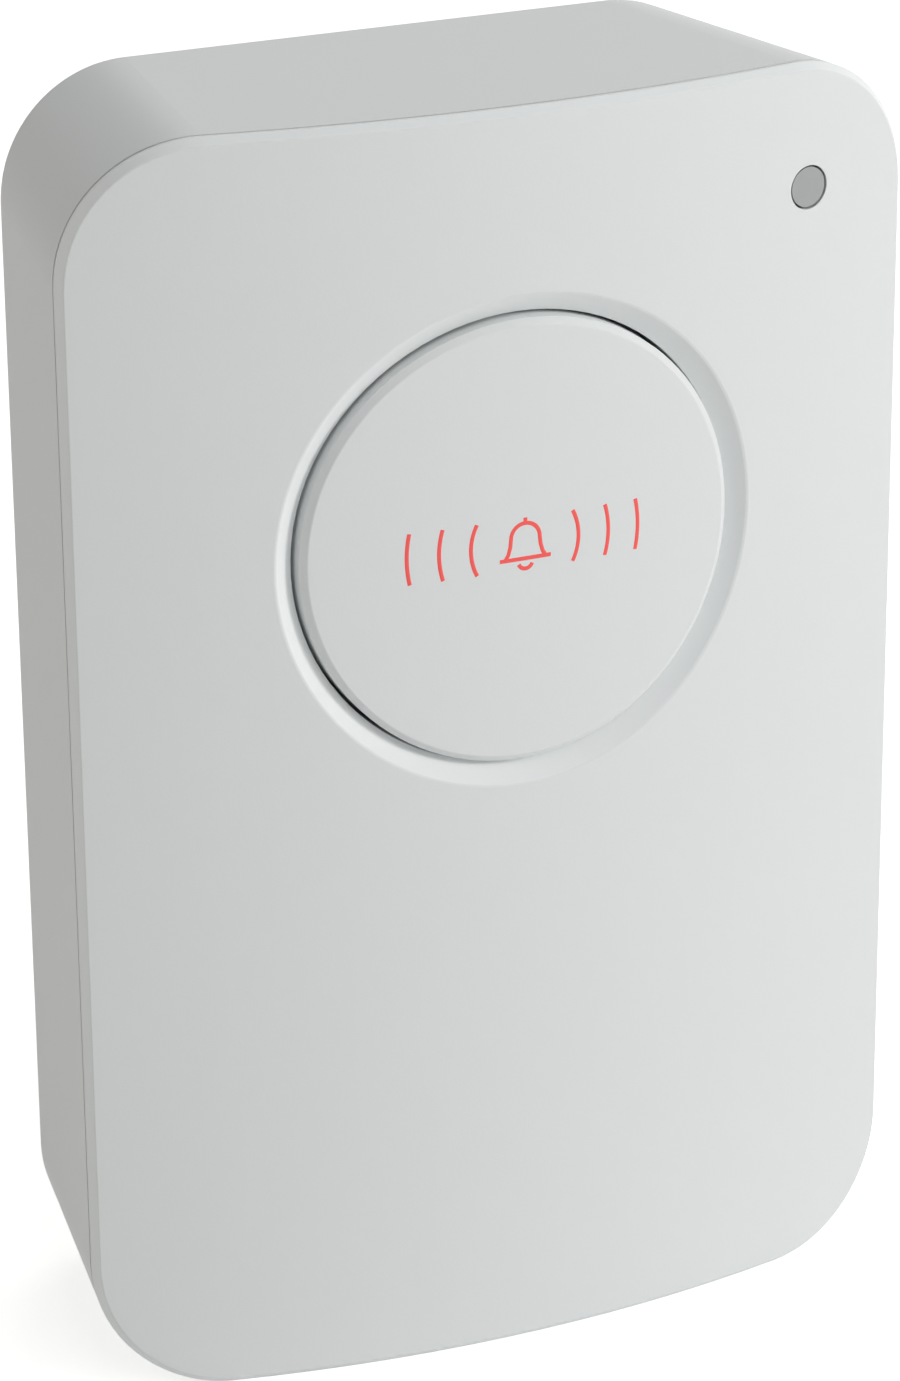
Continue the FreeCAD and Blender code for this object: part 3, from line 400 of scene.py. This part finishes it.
switch_plastic = moulded_plastic("Black switch plastic", SWITCH_BLACK, roughness=0.4, shading=0.2)
dress("switch_base", switch_plastic)
dress("switch_plunger", switch_plastic)
dress("switch_cover", strip_steel)
dress("switch_terminals", strip_steel)
dress("switch_dome", plated_metal("Spring dome steel", DOME_STEEL, roughness=0.22, mark_size=0.1))

# Return ring: translucent silicone, moulded in one piece with a soft wall. It stands on the board
# under the button's flange and pushes the button out again.
SILICONE_WHITE = (0.66, 0.66, 0.64, 1.0)
LIGHT_REACH = 0.4

return_silicone = moulded_plastic(
    "Cloudy return silicone", SILICONE_WHITE, roughness=0.45, grain_size=0.2, depth=0.003
)
shader_of(return_silicone).inputs["Subsurface Weight"].default_value = 0.3
shader_of(return_silicone).inputs["Subsurface Scale"].default_value = LIGHT_REACH * MM
dress("return_ring", return_silicone)

# Button cap: moulded in the same off-white plastic as the case, crowned like its face, with a
# narrow bevel round its rim. It slides in the collar of the cover.
dress("button_cap", moulded_plastic("Off-white button plastic", WHITE_PLASTIC, roughness=0.68))

# Front cover: a thin crowned shell in the case plastic, dished round the button and drilled for
# the light pipe. Its bevel and dish carry a painted highlight that makes them a little lighter, and
# its edge meets the housing in a hairline seam, darkened with painted shade.
dress("front_cover", case_plastic)

# Alarm print: a ringing bell with three arcs on each side, pad-printed on the button in thin red
# lines. The ink lies on the crowned cap, so every line follows its curve.
INK_RED = (0.97, 0.115, 0.105, 1.0)
LINE = 0.2
INK_PROUD = 0.012
BELL_SKIRT = [(1.02, -0.72), (0.86, -0.46), (0.76, -0.1)]
BELL_TOP_R = 0.72
BELL_TOP_Z = 0.28
KNOB_LOW = 1.06
KNOB_HIGH = 1.26
LIP_HALF = 1.28
LIP_STEPS = 8
CLAPPER_R = 0.36
CLAPPER_Z = -0.86
CLAPPER_START = 200
CLAPPER_END = 340
WAVE_REACHES = (2.7, 4.25, 5.8)
WAVE_HALF = 1.24


def arc(radius, middle_z, first, last, steps=24):
    """Points along a round stroke centred on the button's upright middle line, in millimetres."""
    angles = [math.radians(first + (last - first) * step / steps) for step in range(steps + 1)]
    return [(radius * math.cos(angle), middle_z + radius * math.sin(angle)) for angle in angles]


other_skirt = [(-x, z) for x, z in reversed(BELL_SKIRT)]
lip_z = BELL_SKIRT[0][1]
strokes = [
    BELL_SKIRT + arc(BELL_TOP_R, BELL_TOP_Z, 0, 180) + other_skirt,
    [(LIP_HALF * step / LIP_STEPS, lip_z) for step in range(-LIP_STEPS, LIP_STEPS + 1)],
    arc(CLAPPER_R, CLAPPER_Z, CLAPPER_START, CLAPPER_END, steps=12),
    [(0.0, KNOB_LOW), (0.0, KNOB_HIGH)],
]
for reach in WAVE_REACHES:
    half = math.degrees(math.asin(WAVE_HALF / reach))
    strokes.append(arc(reach, 0.0, -half, half))
    strokes.append(arc(reach, 0.0, 180 - half, 180 + half))

ink_curve = bpy.data.curves.new("alarm_print", "CURVE")
ink_curve.dimensions = "3D"
ink_curve.fill_mode = "FULL"
ink_curve.bevel_depth = LINE / 2 * MM
ink_curve.bevel_resolution = 2
ink_curve.use_fill_caps = True
for stroke in strokes:
    spline = ink_curve.splines.new("POLY")
    spline.points.add(len(stroke) - 1)
    for point, (x, z) in zip(spline.points, stroke):
        point.co = (x * MM, 0.0, (z + BUTTON_Z) * MM, 1.0)
ink = bpy.data.objects.new("alarm_print", ink_curve)
bpy.context.scene.collection.objects.link(ink)
bpy.ops.object.select_all(action="DESELECT")
ink.select_set(True)
bpy.context.view_layer.objects.active = ink
bpy.ops.object.convert(target="MESH")
ink = bpy.context.object
for vertex in ink.data.vertices:
    x = vertex.co.x / MM
    crown_y = CROWN_FRONT + CROWN_R - math.sqrt(CROWN_R ** 2 - x ** 2)
    vertex.co.y = crown_y * MM + vertex.co.y * INK_PROUD / (LINE / 2)
bpy.ops.object.shade_smooth_by_angle(angle=math.radians(40))
red_ink = moulded_plastic(
    "Red printing ink", INK_RED, roughness=0.5, grain_size=0.06, depth=0.001, shading=0.06
)
ink.data.materials.append(red_ink)
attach(ink, "button")

# Case screws: zinc-plated round heads with a crossed drive, sunk in the back of the housing.
# They are cold-headed from wire, cut their own thread and pull housing, board and cover together.
SCREW_ZINC = (0.6, 0.61, 0.62, 1.0)

screw_steel = plated_metal(
    "Zinc-plated screw steel", SCREW_ZINC, roughness=0.34, mark_size=0.12, tarnish=0.25
)
dress("housing_screws", screw_steel)

# Wall plate: moulded in the case plastic, with lugs that the housing hooks over and a spring
# tongue that clicks into it. Two countersunk holes take the wall screws.
plate_plastic = moulded_plastic(
    "Off-white plate plastic", WHITE_PLASTIC, roughness=0.72, grain_size=0.16, depth=0.006
)
dress("wall_plate", plate_plastic)

# Studio: a pale floor that glows faintly, looks white and keeps the shadow, one small lamp at the
# right that draws the short shadow in the dish, broad soft lamps all round, and an even surround.
# Sizes and distances are in metres here, and the power of a lamp is in watts.
FLOOR_SIZE = 1.6
FLOOR_PALE = (0.86, 0.86, 0.86, 1.0)
FLOOR_GLOW = 0.08
FLOOR_LIFT = 0.56
SURROUND_LIGHT = 0.18
PURE_WHITE = (1.0, 1.0, 1.0, 1.0)
LIT_POINT = Vector((0.0, 0.0, 0.031))


def seen_plainly(tree):
    """1 for rays from the camera, a reflection or a clear material, and 0 for all others."""
    ray = add_node(tree, "ShaderNodeLightPath").outputs
    seen = reckon(tree, "MAXIMUM", ray["Is Camera Ray"], ray["Is Glossy Ray"])
    return reckon(tree, "MAXIMUM", seen, ray["Is Transmission Ray"])


def lamp(name, towards, distance, size, power, color):
    """A square soft lamp that stands in a direction from the case and faces its middle."""
    direction = Vector(towards).normalized()
    bpy.ops.object.light_add(type="AREA", location=LIT_POINT + direction * distance)
    light = bpy.context.object
    light.name = name
    light.rotation_euler = direction.to_track_quat("Z", "Y").to_euler()
    light.data.size = size
    light.data.energy = power
    light.data.color = color


bpy.ops.object.select_all(action="DESELECT")
bpy.ops.mesh.primitive_plane_add(size=FLOOR_SIZE, location=(0, 0, 0))
floor = bpy.context.object
floor.name = "floor"
floor_paint = bpy.data.materials.new("Pale floor paint")
floor_paint.use_nodes = True
tree = floor_paint.node_tree
tree.nodes.clear()
plain = add_node(tree, "ShaderNodeBsdfDiffuse", {"Color": FLOOR_PALE})
level = reckon(tree, "MULTIPLY_ADD", seen_plainly(tree), FLOOR_LIFT, FLOOR_GLOW)
glow = add_node(tree, "ShaderNodeEmission", {"Color": PURE_WHITE, "Strength": level})
together = add_node(tree, "ShaderNodeAddShader", {0: plain.outputs[0], 1: glow.outputs[0]})
add_node(tree, "ShaderNodeOutputMaterial", {"Surface": together.outputs[0]})
floor.data.materials.append(floor_paint)

world = bpy.data.worlds.new("Pale surround")
bpy.context.scene.world = world
world.use_nodes = True
tree = world.node_tree
tree.nodes.clear()
even = add_node(tree, "ShaderNodeBackground", {"Color": PURE_WHITE, "Strength": SURROUND_LIGHT})
white = add_node(tree, "ShaderNodeBackground", {"Color": PURE_WHITE, "Strength": 1.0})
choice = {0: seen_plainly(tree), 1: even.outputs[0], 2: white.outputs[0]}
which = add_node(tree, "ShaderNodeMixShader", choice)
add_node(tree, "ShaderNodeOutputWorld", {"Surface": which.outputs[0]})

lamp("key_lamp", (0.74, -0.6, 0.3), distance=0.7, size=0.16, power=2.16, color=(1.0, 0.989, 0.968))
lamp("upper_front_lamp", (0.1, -0.75, 0.65), distance=0.8, size=0.5, power=1.22, color=(1.0, 0.983, 0.958))
lamp("top_lamp", (0.15, -0.15, 1.0), distance=0.7, size=0.5, power=0.64, color=(0.846, 0.907, 1.0))
lamp("left_lamp", (-1.0, 0.15, 0.2), distance=0.8, size=0.6, power=0.97, color=(1.0, 0.923, 0.771))
lamp("back_lamp", (0.6, 0.6, 0.55), distance=0.8, size=0.6, power=1.77, color=(1.0, 0.973, 0.892))

bpy.context.scene.view_settings.view_transform = "Standard"
